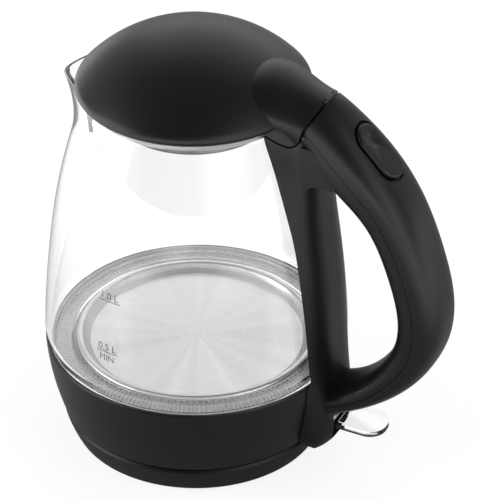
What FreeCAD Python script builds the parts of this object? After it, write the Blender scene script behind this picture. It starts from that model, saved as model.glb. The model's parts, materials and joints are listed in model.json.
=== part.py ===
"""Electric kettle: a glass jug on a heated housing, a hinged lid and a lift-off power base.

Millimetres. Z runs up the axis of the jug from the table, +X points to the handle and -X to the spout.
"""
import FreeCAD
import Part
import Sketcher
import math
import os
import re
from FreeCAD import Placement, Rotation, Vector

SIZES = [
    ("wall", 2.4, "wall of the plastic mouldings"),
    ("sheet_wall", 0.9, "wall of the pressed steel pieces"),
    ("leaf_wall", 0.5, "strip of the button spring"),
    ("base_foot_radius", 64.6, "power base at its lower edge"),
    ("base_rim_radius", 69.3, "power base at its upper edge"),
    ("base_height", 15.4, "top of the power base above the table"),
    ("deck_height", 13.6, "sunk deck of the power base"),
    ("underside", 1.6, "lower face of the power base above the table"),
    ("foot_ring_radius", 56.0, "outside of the rubber ring foot"),
    ("base_screw_circle", 45.0, "circle of the power base screws"),
    ("post_radius", 17.0, "connector post on the power base"),
    ("post_top", 24.0, "top of the connector post"),
    ("pin_radius", 3.0, "central earth pin"),
    ("housing_floor", 17.2, "lower edge of the heated housing"),
    ("housing_floor_radius", 69.7, "housing at its lower edge"),
    ("housing_rim_radius", 77.3, "housing at its upper edge"),
    ("housing_rim", 56.0, "upper edge of the housing"),
    ("housing_curve", 150.0, "curve of the housing side"),
    ("ledge", 49.6, "shelf in the housing that carries the jug"),
    ("cover_radius", 67.0, "cover under the housing"),
    ("cover_screw_circle", 61.0, "circle of the housing screws"),
    ("socket_radius", 24.0, "socket ring in the housing"),
    ("socket_top", 26.5, "underside of the control body"),
    ("control_top", 39.5, "top of the control body"),
    ("plate_level", 52.3, "flat of the heating plate"),
    ("plate_radius", 54.6, "flat part of the heating plate"),
    ("bead_radius", 62.2, "outside of the heating plate bead"),
    ("element_radius", 38.0, "centre line of the heating element"),
    ("element_tube", 4.0, "radius of the heating element tube"),
    ("light_radius", 71.8, "outside of the clear light ring"),
    ("glass_foot", 51.0, "lower edge of the glass"),
    ("glass_foot_radius", 75.2, "glass where it stands in the housing"),
    ("glass_wall", 2.8, "glass thickness"),
    ("belly_radius", 77.4, "widest part of the glass"),
    ("belly_level", 63.0, "height of the widest part"),
    ("waist_radius", 71.7, "glass where the shoulder begins"),
    ("waist_level", 122.0, "height where the shoulder begins"),
    ("belly_curve", 630.0, "curve of the lower glass side"),
    ("shoulder_curve", 310.0, "curve of the upper glass side"),
    ("rim_radius", 52.4, "outside of the glass rim"),
    ("rim_level", 197.0, "top of the glass"),
    ("spout_reach", 72.2, "tip of the spout from the axis"),
    ("lid_radius", 57.9, "widest part of the lid"),
    ("lid_edge", 199.9, "height of the widest part of the lid"),
    ("lid_top", 228.7, "top of the lid"),
    ("lid_corner", 6.0, "small curve at the side of the lid"),
    ("plug_radius", 47.5, "plug of the lid in the glass mouth"),
    ("plug_level", 190.0, "lower face of the lid plug"),
    ("cap_radius", 39.0, "steel cap under the lid"),
    ("cap_level", 182.0, "lower face of the steel cap"),
        ("hinge_reach", 73.2, "lid hinge from the axis"),
    ("hinge_level", 209.6, "height of the lid hinge"),
    ("hinge_pin_radius", 0.9, "lid hinge pin"),
    ("part_gap", 0.9, "gap between the lid and the handle"),
    ("lever_reach", 79.5, "switch lever pivot from the axis"),
    ("lever_level", 27.5, "height of the switch lever pivot"),
    ("lever_length", 28.0, "switch lever from pivot to tip"),
    ("lever_width", 20.0, "width of the switch lever"),
    ("button_length", 31.0, "release button along the handle"),
    ("button_width", 16.6, "release button across the handle"),
    ("button_rise", 0.9, "face of the release button above the handle"),
]

ALIASES = {name for name, _, _ in SIZES}
NODES = []

document = FreeCAD.newDocument("Kettle")
sheet = document.addObject("Spreadsheet::Sheet", "Sizes")
for row, (alias, number, meaning) in enumerate(SIZES, start=1):
    sheet.set("A%d" % row, meaning)
    sheet.set("B%d" % row, str(number))
    sheet.setAlias("B%d" % row, alias)
document.recompute()


def bound(formula):
    """Point every size name in a formula at its cell."""
    return re.sub(r"[a-z_]+", lambda found: "Sizes." + found.group() if found.group() in ALIASES
                  else found.group(), formula)


def number_of(formula):
    """Number that a formula of size names gives now."""
    return float(sheet.evalExpression(formula))


def node(item, label):
    """Name an object as a finished piece that is written out."""
    item.Label = label
    NODES.append(item)
    return item


def arc_middle(start, end, radius):
    """Middle of the arc between two points; a positive radius bulges to the right of travel."""
    chord = end - start
    left = Vector(-chord.y, chord.x, 0).normalize()
    side = math.copysign(1, radius)
    to_centre = math.sqrt(radius ** 2 - (chord.Length / 2) ** 2)
    return (start + end) * 0.5 + left * side * (to_centre - abs(radius))


def lathe(label, outline):
    """Body turned about Z from corners of (radius, height) formulas, listed anticlockwise.

    A third formula is the radius of the arc that leaves that corner, negative for a hollow one.
    """
    body = document.addObject("PartDesign::Body", label)
    sketch = body.newObject("Sketcher::SketchObject", label + "_outline")
    plane = [item for item in body.Origin.OriginFeatures if item.Role == "XZ_Plane"][0]
    sketch.AttachmentSupport = [(plane, "")]
    sketch.MapMode = "FlatFace"
    corners = [Vector(number_of(corner[0]), number_of(corner[1]), 0) for corner in outline]
    starts, ends = [], []
    for index, corner in enumerate(outline):
        start, end = corners[index], corners[(index + 1) % len(corners)]
        edge = Part.LineSegment(start, end)
        if len(corner) == 3:
            edge = Part.Arc(start, arc_middle(start, end, number_of(corner[2])), end)
        sketch.addGeometry(edge)
        forward = sketch.getPoint(index, 1).distanceToPoint(start) < 1e-6
        starts.append((index, 1 if forward else 2))
        ends.append((index, 2 if forward else 1))
    for index, corner in enumerate(outline):
        sketch.addConstraint(Sketcher.Constraint("Coincident", *ends[index - 1], *starts[index]))
        place(sketch, "DistanceX", -2, starts[index], corner[0])
        place(sketch, "DistanceY", -1, starts[index], corner[1])
        if len(corner) == 3:
            radius = sketch.addConstraint(
                Sketcher.Constraint("Radius", index, abs(number_of(corner[2]))))
            sketch.setExpression("Constraints[%d]" % radius, bound("abs(%s)" % corner[2]))
    turn = body.newObject("PartDesign::Revolution", label + "_turn")
    turn.Profile = sketch
    turn.ReferenceAxis = (sketch, ["V_Axis"])
    turn.Angle = 360
    return body


def place(sketch, kind, axis, point, formula):
    """Hold a sketch point at a formula's distance, or on the axis when that is zero."""
    size = number_of(formula)
    if size == 0:
        sketch.addConstraint(Sketcher.Constraint("PointOnObject", *point, axis))
        return
    held = sketch.addConstraint(Sketcher.Constraint(kind, -1, 1, *point, size))
    sketch.setExpression("Constraints[%d]" % held, bound(formula))


def locate(item, where, turned=None):
    """Turn an object and bind its position to three formulas."""
    if turned:
        item.Placement = Placement(Vector(), turned)
    for axis, formula in zip("xyz", where):
        item.setExpression("Placement.Base." + axis, bound(formula))
    return item


def cylinder(label, radius, height, where, turned=None):
    """Round bar that rises from its position."""
    bar = document.addObject("Part::Cylinder", label)
    bar.setExpression("Radius", bound(radius))
    bar.setExpression("Height", bound(height))
    return locate(bar, where, turned)


def tube(label, outer, inner, bottom, top):
    """Upright ring about the Z axis."""
    return lathe(label, [(inner, bottom), (outer, bottom), (outer, top), (inner, top)])


def box(label, size, where, turned=None):
    """Block with one corner at its position."""
    block = document.addObject("Part::Box", label)
    for side, formula in zip(("Length", "Width", "Height"), size):
        block.setExpression(side, bound(formula))
    return locate(block, where, turned)


def joined(label, *items):
    """One solid from overlapping objects."""
    union = document.addObject("Part::MultiFuse", label)
    union.Shapes = list(items)
    return union


def group(label, items):
    """Separate solids that share one name."""
    compound = document.addObject("Part::Compound", label)
    compound.Links = items
    return compound


def minus(label, base, *tools):
    """Base with every tool cut away."""
    for step, tool in enumerate(tools):
        difference = document.addObject("Part::Cut", "%s_cut_%d" % (label, step))
        difference.Base = base
        difference.Tool = tool
        base = difference
    return base


def within(label, base, tool):
    """Part of the base that lies inside the tool."""
    overlap = document.addObject("Part::Common", label)
    overlap.Base = base
    overlap.Tool = tool
    return overlap


def freeform(label, shape, where=Placement()):
    """Object that holds a lofted or swept shape at its place."""
    item = document.addObject("Part::Feature", label)
    item.Shape = shape
    item.Placement = where
    return item


def on_circle(circle, angle, level):
    """Position formulas on a circle about the Z axis."""
    cosine, sine = math.cos(math.radians(angle)), math.sin(math.radians(angle))
    return ("%s * %.6f" % (circle, cosine), "%s * %.6f" % (circle, sine), level)


def screws(label, circle, angles, head_level, length):
    """Pan-head screws that point up from a circle."""
    items = []
    for index, angle in enumerate(angles):
        name = "%s_%d" % (label, index)
        head = cylinder(name + "_head", "2.6", "1.3", on_circle(circle, angle, head_level))
        shank = cylinder(name + "_shank", "1.3", length, on_circle(circle, angle, head_level))
        items.append(joined(name, head, shank))
    return group(label, items)


def screw_holes(label, circle, angles, head_level):
    """Counterbored clearance holes for the same screws."""
    holes = []
    for index, angle in enumerate(angles):
        name = "%s_%d" % (label, index)
        sink = cylinder(name + "_sink", "2.9", "1.3", on_circle(circle, angle, head_level))
        bore = cylinder(name + "_bore", "1.6", "4", on_circle(circle, angle, head_level))
        holes.append(joined(name, sink, bore))
    return group(label, holes)


def bosses(label, circle, angles, bottom, top, bore_depth):
    """Screw pillars and the pilot holes that are cut into them."""
    pillars, pilots = [], []
    for index, angle in enumerate(angles):
        name = "%s_%d" % (label, index)
        where = on_circle(circle, angle, bottom)
        pillars.append(cylinder(name, "3.3", "%s - (%s)" % (top, bottom), where))
        pilots.append(cylinder(name + "_pilot", "1.3", bore_depth, where))
    return pillars, group(label + "_pilots", pilots)


def xz(x, z, y=0):
    """Point from its place in the plane of the handle."""
    return Vector(x, y, z)


def prism(edges, half_width):
    """Solid drawn in the plane of the handle and thickened evenly to both sides."""
    face = Part.Face(Part.Wire(edges))
    face.translate(Vector(0, -half_width, 0))
    return face.extrude(Vector(0, 2 * half_width, 0))


def chain(points):
    """Straight edges that close through the points."""
    return [Part.LineSegment(points[i - 1], points[i]).toShape() for i in range(len(points))]


BASE_SCREW_ANGLES = (60, 180, 300)
COVER_SCREW_ANGLES = (90, 210, 330)
AROUND_Y = Rotation(Vector(1, 0, 0), -90)
AROUND_X = Rotation(Vector(0, 1, 0), 90)


def power_base():
    """Lift-off base with its connector and cord inlet."""
    shell = lathe("base_shell", [
        ("base_foot_radius", "underside", "70"), ("base_rim_radius", "base_height - 1.2"),
        ("base_rim_radius - 1", "base_height"), ("60", "base_height"), ("58.5", "deck_height"),
        ("post_radius + 2.5", "deck_height"), ("post_radius + 2.5", "deck_height - 2.2"),
        ("59.6", "deck_height - 2.2"), ("61.1", "base_height - 2.2"),
        ("base_rim_radius - 2.7", "base_height - 2.2"), ("base_foot_radius - 2.3", "underside")])
    pillars, pilots = bosses("base_boss", "base_screw_circle", BASE_SCREW_ANGLES,
                             "underside + 2.2", "deck_height - 1", "6")
    inlet_hole = cylinder("inlet_hole", "4.4", "12", ("0", "58", "8.6"), AROUND_Y)
    node(minus("base_cover", joined("base_cover_blank", shell, *pillars), pilots, inlet_hole), "base_cover")

    inlet = cylinder("inlet_sleeve", "4.4", "6", ("0", "62.6", "8.6"), AROUND_Y)
    inlet_bore = cylinder("inlet_bore", "3.3", "8", ("0", "62", "8.6"), AROUND_Y)
    node(minus("cord_inlet", inlet, inlet_bore), "cord_inlet")

    floor = lathe("base_floor", [
        ("0", "underside"), ("foot_ring_radius - 6", "underside"), ("foot_ring_radius - 6", "2.4"),
        ("foot_ring_radius", "2.4"), ("foot_ring_radius", "underside"), ("61.8", "underside"),
        ("61.8", "underside + 2.2"), ("21", "underside + 2.2"), ("21", "9.2"), ("18", "9.2"),
        ("18", "underside + 2.2"), ("0", "underside + 2.2")])
    holes = screw_holes("base_screw_holes", "base_screw_circle", BASE_SCREW_ANGLES, "underside")
    node(minus("base_bottom", floor, holes), "base_bottom")
    node(tube("foot_ring", "foot_ring_radius", "foot_ring_radius - 6", "0", "2.4"), "foot_ring")
    node(screws("base_screws", "base_screw_circle", BASE_SCREW_ANGLES, "underside", "7.4"), "base_screws")

    node(lathe("base_connector", [
        ("pin_radius + 0.05", "9.2"), ("post_radius + 5", "9.2"), ("post_radius + 5", "deck_height - 2.2"),
        ("post_radius", "deck_height - 2.2"), ("post_radius", "post_top - 1", "1"),
        ("post_radius - 1", "post_top"), ("14", "post_top"), ("14", "12"), ("10", "12"), ("10", "post_top"),
        ("7", "post_top"), ("7", "12"), ("pin_radius + 0.05", "12")]), "base_connector")
    outer_ring = tube("outer_contact", "14", "13.3", "12", "20")
    inner_ring = tube("inner_contact", "7", "6.3", "12", "20")
    node(group("contact_rings", [outer_ring, inner_ring]), "contact_rings")
    node(lathe("earth_pin", [
        ("0", "6"), ("pin_radius + 1.4", "6"), ("pin_radius + 1.4", "8.8"), ("pin_radius", "8.8"),
        ("pin_radius", "22", "pin_radius"), ("0", "22 + pin_radius")]), "earth_pin")


def heated_housing():
    """Housing below the glass with the plate, the element and the socket."""
    shell = lathe("housing_shell", [
        ("housing_floor_radius", "housing_floor", "housing_curve"), ("housing_rim_radius", "housing_rim - 0.8"),
        ("housing_rim_radius - 0.6", "housing_rim"), ("glass_foot_radius + 0.1", "housing_rim"),
        ("glass_foot_radius + 0.1", "ledge"), ("61.5", "ledge"), ("61.5", "ledge - wall"),
        ("housing_rim_radius - 3.6", "ledge - wall", "0 - housing_curve"), ("cover_radius + 1", "21"),
        ("cover_radius", "housing_floor + 2.6"), ("cover_radius", "housing_floor")])
    pillars, pilots = bosses("housing_boss", "cover_screw_circle", COVER_SCREW_ANGLES,
                             "housing_floor + 2.6", "ledge - 1.6", "7.6")
    foot_bores = [cylinder("foot_bore_%s" % side, "1.6", "14", ("66", y, "40"), AROUND_X)
                  for side, y in (("near", "-16.5"), ("far", "16.5"))]
    blank = joined("housing_blank", shell, *pillars)
    node(minus("base_housing", blank, pilots, *foot_bores), "base_housing")

    cover = lathe("cover_disc", [
        ("socket_radius", "housing_floor + 0.4"), ("65.2", "housing_floor + 0.4"),
        ("65.2", "base_height + 0.3"), ("66.6", "base_height + 0.3"), ("66.6", "housing_floor + 0.4"),
        ("cover_radius", "housing_floor + 0.4"), ("cover_radius", "housing_floor + 2.6"),
        ("socket_radius", "housing_floor + 2.6")])
    holes = screw_holes("cover_holes", "cover_screw_circle", COVER_SCREW_ANGLES, "housing_floor + 0.4")
    node(minus("bottom_cover", cover, holes), "bottom_cover")
    node(screws("bottom_screws", "cover_screw_circle", COVER_SCREW_ANGLES, "housing_floor + 0.4", "9"),
         "bottom_screws")

    node(tube("kettle_socket", "socket_radius", "post_radius + 0.6", "housing_floor + 0.4", "socket_top"),
         "kettle_socket")
    node(tube("control_body", "socket_radius", "0", "socket_top", "control_top"), "control_body")
    sleeve = tube("earth_sleeve", "pin_radius + 0.9", "pin_radius + 0.3", "14", "socket_top")
    live = box("live_prong", ("2.2", "3", "socket_top - 14"), ("10.6", "-1.5", "14"))
    neutral = box("neutral_prong", ("1.4", "2", "socket_top - 14"), ("-5.8", "-1", "14"))
    node(group("socket_contacts", [sleeve, live, neutral]), "socket_contacts")

    node(lathe("heating_plate", [
        ("0", "plate_level - sheet_wall"), ("plate_radius + 0.4", "plate_level - sheet_wall"),
        ("plate_radius + 4.2", "plate_level + 2.7", "-1.3"), ("bead_radius - sheet_wall", "plate_level + 2.7"),
        ("bead_radius - sheet_wall", "ledge"), ("bead_radius", "ledge"),
        ("bead_radius", "plate_level + 2.7", "2.2"), ("plate_radius + 3.4", "plate_level + 3.2"),
        ("plate_radius", "plate_level"), ("0", "plate_level")]), "heating_plate")
    disc = tube("spreader_disc", "52", "0", "48", "plate_level - sheet_wall")
    studs = [cylinder("stud_%d" % angle, "2", "10", on_circle("18", angle, "control_top"))
             for angle in (30, 150, 270)]
    node(joined("heat_spreader", disc, *studs), "heat_spreader")
    node(heating_element(), "heating_element")

    node(tube("plate_seal", "bead_radius + 1", "bead_radius", "ledge", "54"), "plate_seal")
    node(lathe("light_ring", [
        ("bead_radius + 1", "ledge"), ("bead_radius + 1.8", "ledge"), ("bead_radius + 1.8", "53"),
        ("light_radius", "53"), ("light_radius", "56"), ("bead_radius + 1", "56")]), "light_ring")
    node(tube("led_board", "71.4", "64.4", "ledge", "ledge + 1.2"), "led_board")
    lamps = []
    for angle in range(0, 360, 60):
        turned = Rotation(Vector(0, 0, 1), angle)
        corner = turned.multVec(Vector(66.4, -1.5, 0))
        lamps.append(box("lamp_%d" % angle, ("3", "3", "1"),
                         ("%.4f" % corner.x, "%.4f" % corner.y, "ledge + 1.2"), turned))
    node(group("leds", lamps), "leds")
    node(tube("glass_seal", "glass_foot_radius + 0.1", "light_radius + 0.2", "ledge", "glass_foot"), "glass_seal")


def heating_element():
    """Tubular element bent to most of a circle, its top pressed flat against the spreader."""
    loop = document.addObject("Part::Torus", "element_loop")
    loop.setExpression("Radius1", bound("element_radius"))
    loop.setExpression("Radius2", bound("element_tube"))
    loop.Angle3 = 300
    locate(loop, ("0", "0", "48.4 - element_tube"), Rotation(Vector(0, 0, 1), 30))
    tails = [cylinder("tail_%d" % angle, "element_tube - 0.8", "12", on_circle("element_radius", angle, "34"))
             for angle in (31, 329)]
    trim = cylinder("element_trim", "element_radius + 10", "5", ("0", "0", "48"))
    return minus("heating_element", joined("element_blank", loop, *tails), trim)


def glass_outline(inset, floor):
    """Outline of the jug back to the axis, moved in by the glass thickness for its hollow."""
    rim = "rim_radius - %s" % inset
    top = "rim_level" if inset == "0" else "rim_level + 1"
    return [
        ("0", floor), ("glass_foot_radius - %s" % inset, floor),
        ("glass_foot_radius - %s" % inset, "housing_rim", "-16"),
        ("belly_radius - %s" % inset, "belly_level", "belly_curve - %s" % inset),
        ("waist_radius - %s" % inset, "waist_level", "shoulder_curve - %s" % inset),
        ("rim_radius + 2 - %s" % inset, "rim_level - 7", "-60"), (rim, top), ("0", top)]


SPOUT_LEVELS = ((160, 62.0), (175, 64.5), (186, 69.4), (198, 74.6))


def glass_radius(level):
    """Outside of the glass at a height."""
    waist, belly = number_of("waist_level"), number_of("belly_level")
    if level > waist:
        low = Vector(number_of("waist_radius"), waist, 0)
        high = Vector(number_of("rim_radius + 2"), number_of("rim_level - 7"), 0)
        curve = number_of("shoulder_curve")
    else:
        low = Vector(number_of("belly_radius"), belly, 0)
        high = Vector(number_of("waist_radius"), waist, 0)
        curve = number_of("belly_curve")
    chord = high - low
    centre = (low + high) * 0.5 + Vector(-chord.y, chord.x, 0).normalize() * math.sqrt(
        curve ** 2 - (chord.Length / 2) ** 2)
    return centre.x + math.sqrt(curve ** 2 - (level - centre.y) ** 2)


def spout(inset):
    """Tapered lip lofted up the front of the jug."""
    tip_radius = 5.0 - 0.8 * inset
    wires = []
    for level, reach in SPOUT_LEVELS:
        side = 0.7 * (glass_radius(min(level, 190)) - inset)
        tip = -(reach - 1.3 * inset)
        bend = 0.7071 * tip_radius
        near, far = Vector(tip + tip_radius - bend, -bend, level), Vector(tip + tip_radius - bend, bend, level)
        nose = Part.Arc(near, Vector(tip, 0, level), far).toShape()
        back_far, back_near = Vector(-side, side, level), Vector(-side, -side, level)
        wires.append(Part.Wire([
            nose, Part.LineSegment(far, back_far).toShape(), Part.LineSegment(back_far, back_near).toShape(),
            Part.LineSegment(back_near, near).toShape()]))
    return Part.makeLoft(wires, True, False)


def glass_jug():
    """Glass with a lip that dips towards its tip."""
    wall = number_of("glass_wall")
    rim, reach = number_of("rim_level"), number_of("spout_reach")
    outside = joined("glass_outside", lathe("glass_turned", glass_outline("0", "glass_foot")),
                     freeform("spout_outside", spout(0)))
    inside = joined("glass_inside", lathe("glass_hollow", glass_outline("glass_wall", "glass_foot - 2")),
                    freeform("spout_inside", spout(wall)))
    dip = prism(chain([xz(-58, rim), xz(-58, rim + 6), xz(-reach - 20, rim + 6),
                       xz(-reach - 20, rim - 11.3)]), 60)
    top = box("glass_top", ("200", "200", "20"), ("-100", "-100", "rim_level"))
    node(minus("glass_jug", outside, inside, freeform("lip_dip", dip), top), "glass_jug")


def filter_pieces():
    """Curved frame with a fine mesh behind the spout."""
    band = tube("filter_band", "51.2", "49.4", "178", "189.4")
    sector = prism(chain([xz(-30, 170), xz(-30, 195), xz(-60, 195), xz(-60, 170)]), 31)
    sector_item = freeform("filter_sector", sector)
    frame_blank = within("filter_frame_blank", band, sector_item)
    windows = [freeform("filter_window_%d" % index, window)
               for index, window in enumerate(filter_windows())]
    node(minus("filter_frame", frame_blank, *windows), "filter_frame")
    mesh = tube("mesh_band", "50.5", "50.2", "179.6", "187.8")
    panes = group("mesh_panes", [freeform("mesh_pane_%d" % index, window)
                                 for index, window in enumerate(filter_windows())])
    node(within("filter_mesh", mesh, panes), "filter_mesh")


def filter_windows():
    """Two openings of the filter frame, one on each side of its middle rib."""
    panes = []
    for low, high in ((-29, -1), (1, 29)):
        corners = [Vector(-60, low, 179.6), Vector(-60, high, 179.6), Vector(-60, high, 187.8),
                   Vector(-60, low, 187.8)]
        panes.append(Part.Face(Part.Wire(chain(corners))).extrude(Vector(30, 0, 0)))
    return panes


GRIP = (
    # outer line x, z, half thickness, half width, squareness
    (58.0, 217.4, 16.0, 15.8, 2.0),
    (76.0, 210.7, 16.0, 16.0, 2.1),
    (86.5, 202.0, 15.6, 17.2, 2.4),
    (98.0, 190.4, 14.8, 18.4, 2.8),
    (116.0, 168.3, 12.8, 18.2, 2.8),
    (131.6, 134.2, 12.0, 17.3, 2.8),
    (138.2, 102.0, 11.7, 16.9, 2.8),
    (134.6, 81.0, 11.0, 16.5, 2.8),
    (113.5, 53.0, 8.6, 16.1, 2.8),
    (101.9, 44.6, 7.4, 16.0, 2.8),
    (78.0, 32.5, 8.0, 16.0, 2.8),
)
GRIP_SECTIONS = 22
SECTION_POINTS = 24


class Station:
    """One section of the grip: where its outer line is, which way that faces and how large it is."""

    def __init__(self, place, tangent, form):
        self.outer = xz(place.x, place.y)
        self.normal = xz(-tangent.y, tangent.x).normalize()
        self.half_thick, self.half_wide, self.squareness = form

    def inward(self, depth):
        """Point at a depth below the outer line."""
        return self.outer - self.normal * depth

    def middle(self, shift=0.0):
        """Middle of the section, moved out along its normal."""
        return self.inward(self.half_thick - shift)

    def outline(self, inset):
        """Closed curve of a rounded rectangle."""
        points = []
        for step in range(SECTION_POINTS):
            turn = 2 * math.pi * step / SECTION_POINTS
            out = self.rounded(math.cos(turn)) * (self.half_thick - inset)
            side = self.rounded(math.sin(turn)) * (self.half_wide - inset)
            points.append(self.middle() + self.normal * out + Vector(0, side, 0))
        curve = Part.BSplineCurve()
        curve.interpolate(points, PeriodicFlag=True)
        return Part.Wire([curve.toShape()])

    def rounded(self, ratio):
        """Share of the half size at one turn of the section."""
        return math.copysign(abs(ratio) ** (2 / self.squareness), ratio)


def grip_stations():
    """Sections spaced evenly along a smooth curve through the rows of the grip."""
    travel = [0.0]
    for last, this in zip(GRIP, GRIP[1:]):
        travel.append(travel[-1] + math.hypot(this[0] - last[0], this[1] - last[1]))
    line, form = Part.BSplineCurve(), Part.BSplineCurve()
    line.interpolate([Vector(x, z, 0) for x, z, *_ in GRIP], Parameters=travel)
    form.interpolate([Vector(*row[2:]) for row in GRIP], Parameters=travel)
    stations = []
    for step in range(GRIP_SECTIONS):
        at = travel[-1] * step / (GRIP_SECTIONS - 1)
        stations.append(Station(line.value(at), line.tangent(at)[0], form.value(at)))
    return stations


def grip(inset):
    """Bowed handle from the lid neck down to the foot."""
    return Part.makeLoft([station.outline(inset) for station in grip_stations()], True, False)


STRAP = (
    # height, outer face x, half width
    (15.0, 79.5, 17.0),
    (24.0, 84.0, 20.5),
    (40.0, 83.0, 22.5),
    (56.0, 80.4, 23.5),
    (90.0, 78.4, 23.6),
    (120.0, 75.8, 23.6),
    (145.0, 72.6, 23.5),
    (175.0, 71.0, 23.0),
    (190.0, 70.0, 22.3),
    (200.0, 67.0, 21.5),
    (208.0, 64.0, 18.0),
)
STRAP_FLAT = 5.0


def strap_section(level, face, half_wide, inset):
    """Flat-fronted outline with rounded sides that reach in to the glass."""
    radius = glass_radius(min(max(level, number_of("belly_level")), 190))
    edge = math.sqrt(radius ** 2 - half_wide ** 2)
    front, side, back = face - inset, half_wide - inset, 35.0
    depth, spread = front - edge, side - STRAP_FLAT
    curve = (depth ** 2 + spread ** 2) / (2 * depth)
    half_turn = 0.5 * math.asin(min(1.0, spread / curve))
    if curve < depth:
        half_turn = 0.5 * (math.pi - math.asin(min(1.0, spread / curve)))
    bow_x = front - curve * (1 - math.cos(half_turn))
    bow_y = STRAP_FLAT + curve * math.sin(half_turn)
    corner = {}
    for sign in (-1, 1):
        corner[sign] = (Vector(back, sign * side, level), Vector(edge, sign * side, level),
                        Vector(bow_x, sign * bow_y, level), Vector(front, sign * STRAP_FLAT, level))
    near, far = corner[-1], corner[1]
    return Part.Wire([
        Part.LineSegment(near[0], near[1]).toShape(), Part.Arc(near[1], near[2], near[3]).toShape(),
        Part.LineSegment(near[3], far[3]).toShape(), Part.Arc(far[3], far[2], far[1]).toShape(),
        Part.LineSegment(far[1], far[0]).toShape(), Part.LineSegment(far[0], near[0]).toShape()])


def strap(inset):
    """Column that follows the glass from the foot up to the lid."""
    return Part.makeLoft([strap_section(level, face, half_wide, inset)
                          for level, face, half_wide in STRAP], True, False)


def envelope(label, clearance):
    """Solid of the glass and the housing, grown by a clearance, that the handle wraps round."""
    grown = "%s" % clearance
    glass = lathe(label + "_glass", [
        ("0", "housing_rim"), ("housing_rim_radius + %s" % grown, "housing_rim", "16"),
        ("belly_radius + %s" % grown, "belly_level", "belly_curve + %s" % grown),
        ("waist_radius + %s" % grown, "waist_level", "shoulder_curve + %s" % grown),
        ("rim_radius + 2 + %s" % grown, "rim_level - 7", "-60"),
        ("rim_radius + %s" % grown, "rim_level + 0.6"), ("0", "rim_level + 0.6")])
    housing = lathe(label + "_housing", [
        ("0", "0"), ("base_foot_radius", "0"), ("housing_floor_radius + 0.6", "base_height"),
        ("housing_floor_radius + %s" % grown, "housing_floor", "housing_curve"),
        ("housing_rim_radius + %s" % grown, "housing_rim"), ("0", "housing_rim")])
    return joined(label, glass, housing)


def lid_zone(grow, shift=Vector()):
    """Everything on the lid's side of the gap, grown towards the handle and moved."""
    left, top, floor = -90.0, 245.0, 180.0
    corner_start, corner_middle, corner_end = xz(65.8, 196), xz(64.5, 192.6), xz(61, 191.2)
    points = [corner_end, xz(50, 195.4), xz(30, 195.4), xz(30, floor), xz(left, floor), xz(left, top),
              xz(76, top), xz(76, 215), xz(67, 200.5), corner_start]
    edges = [Part.LineSegment(a, b).toShape() for a, b in zip(points, points[1:])]
    edges.append(Part.Arc(corner_start, corner_middle, corner_end).toShape())
    wire = Part.Wire(Part.__sortEdges__(edges))
    if grow:
        wire = wire.makeOffset2D(grow)
    zone = Part.Face(wire).extrude(Vector(0, 100, 0))
    zone.translate(shift + Vector(0, -50, 0))
    return zone


def hinge_bar(radius, start, end):
    """Round bar on the lid hinge axis between two places across the handle."""
    foot = xz(number_of("hinge_reach"), number_of("hinge_level"), start)
    return Part.makeCylinder(radius, end - start, foot, Vector(0, 1, 0))


KNUCKLE_HALF = 3.0
KNUCKLE_RADIUS = 1.9
EAR_RADIUS = 1.7
EAR_END = 6.0
HINGE_ROOM = 0.45


def both_sides(make, start, end):
    """The same bar on the near and the far side."""
    return make(start, end).fuse(make(-end, -start))


NECK = (
    # distance down the neck, half width, half height
    (-16.0, 8.0, 5.0),
    (-12.0, 17.5, 10.5),
    (-4.0, 22.4, 14.8),
    (6.0, 22.8, 16.0),
    (22.0, 19.4, 16.3),
    (46.0, 16.7, 16.2),
)
NECK_SLOPE = -20.6


def neck(inset):
    """Oval neck that starts round-nosed inside the lid and narrows towards the handle."""
    down = xz(math.cos(math.radians(NECK_SLOPE)), math.sin(math.radians(NECK_SLOPE)))
    across = Vector(0, 1, 0)
    nose = xz(42.0, 204.8)
    wires = []
    for distance, half_wide, half_high in NECK:
        centre = nose + down * distance
        oval = Part.Ellipse(centre + across * (half_wide - inset),
                            centre + down.cross(across) * (half_high - inset), centre)
        wires.append(Part.Wire([oval.toShape()]))
    return Part.makeLoft(wires, True, False)


def dome_outline(inset):
    """Small curve at the side of the lid that runs on into the large one over its top."""
    rise = "(lid_top - lid_edge)"
    crown = "(((lid_radius - lid_corner)^2 + %s^2 - lid_corner^2) / (2 * (%s - lid_corner)))" % (rise, rise)
    scale = "(%s - %s) / (%s - lid_corner)" % (crown, inset, crown)
    join_radius = "(lid_radius - lid_corner) * %s" % scale
    join_level = "lid_top - %s + (%s - %s) * %s" % (crown, crown, rise, scale)
    return [("lid_radius - %s" % inset, "lid_edge", "lid_corner - %s" % inset),
            (join_radius, join_level, "%s - %s" % (crown, inset)), ("0", "lid_top - %s" % inset)]


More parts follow.
